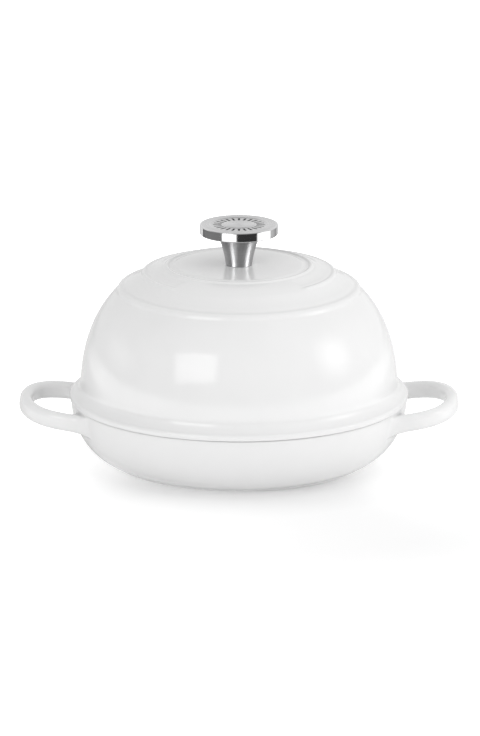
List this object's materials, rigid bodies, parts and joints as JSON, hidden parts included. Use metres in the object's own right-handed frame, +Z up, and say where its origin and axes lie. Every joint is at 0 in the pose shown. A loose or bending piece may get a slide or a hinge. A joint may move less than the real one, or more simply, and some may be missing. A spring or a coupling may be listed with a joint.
{
  "type": "bread cloche",
  "caption": "Round enamelled cast-iron bread cloche: shallow pan with loop handles, lift-off domed lid with raised rings, and a screwed-on steel knob.",
  "frame": {"origin": "middle of the flat foot, on the surface that the pan stands on", "axes": "+Z up along the lid's lift, +X along the line through both handles, -Y the front, where the middle ring is open"},
  "size_m": [0.325, 0.25, 0.1764],
  "materials": {
    "pan_enamel": "gloss white vitreous enamel outside, satin black enamel inside",
    "lid_enamel": "gloss white vitreous enamel outside, satin black enamel inside",
    "knob_steel": "finely turned stainless steel",
    "fastener_steel": "plain stainless steel"
  },
  "bodies": {
    "base": {"base_pan": "pan_enamel"},
    "lid_pivot": {"flat_washer": "fastener_steel"},
    "lid": {"lid_dome": "lid_enamel", "knob_cap": "knob_steel", "knob_stem": "knob_steel", "threaded_insert": "fastener_steel", "knob_screw": "fastener_steel", "lock_washer": "fastener_steel"}
  },
  "joints": [
    {"name": "lid_lift", "type": "slide", "parent": "base", "child": "lid_pivot", "axis": [0, 0, 1], "range_m": [0, 0.2]},
    {"name": "lid_turn", "type": "hinge", "parent": "lid_pivot", "child": "lid", "pos_m": [0, 0, 0.0456], "axis": [0, 0, 1], "continuous": true}
  ]
}
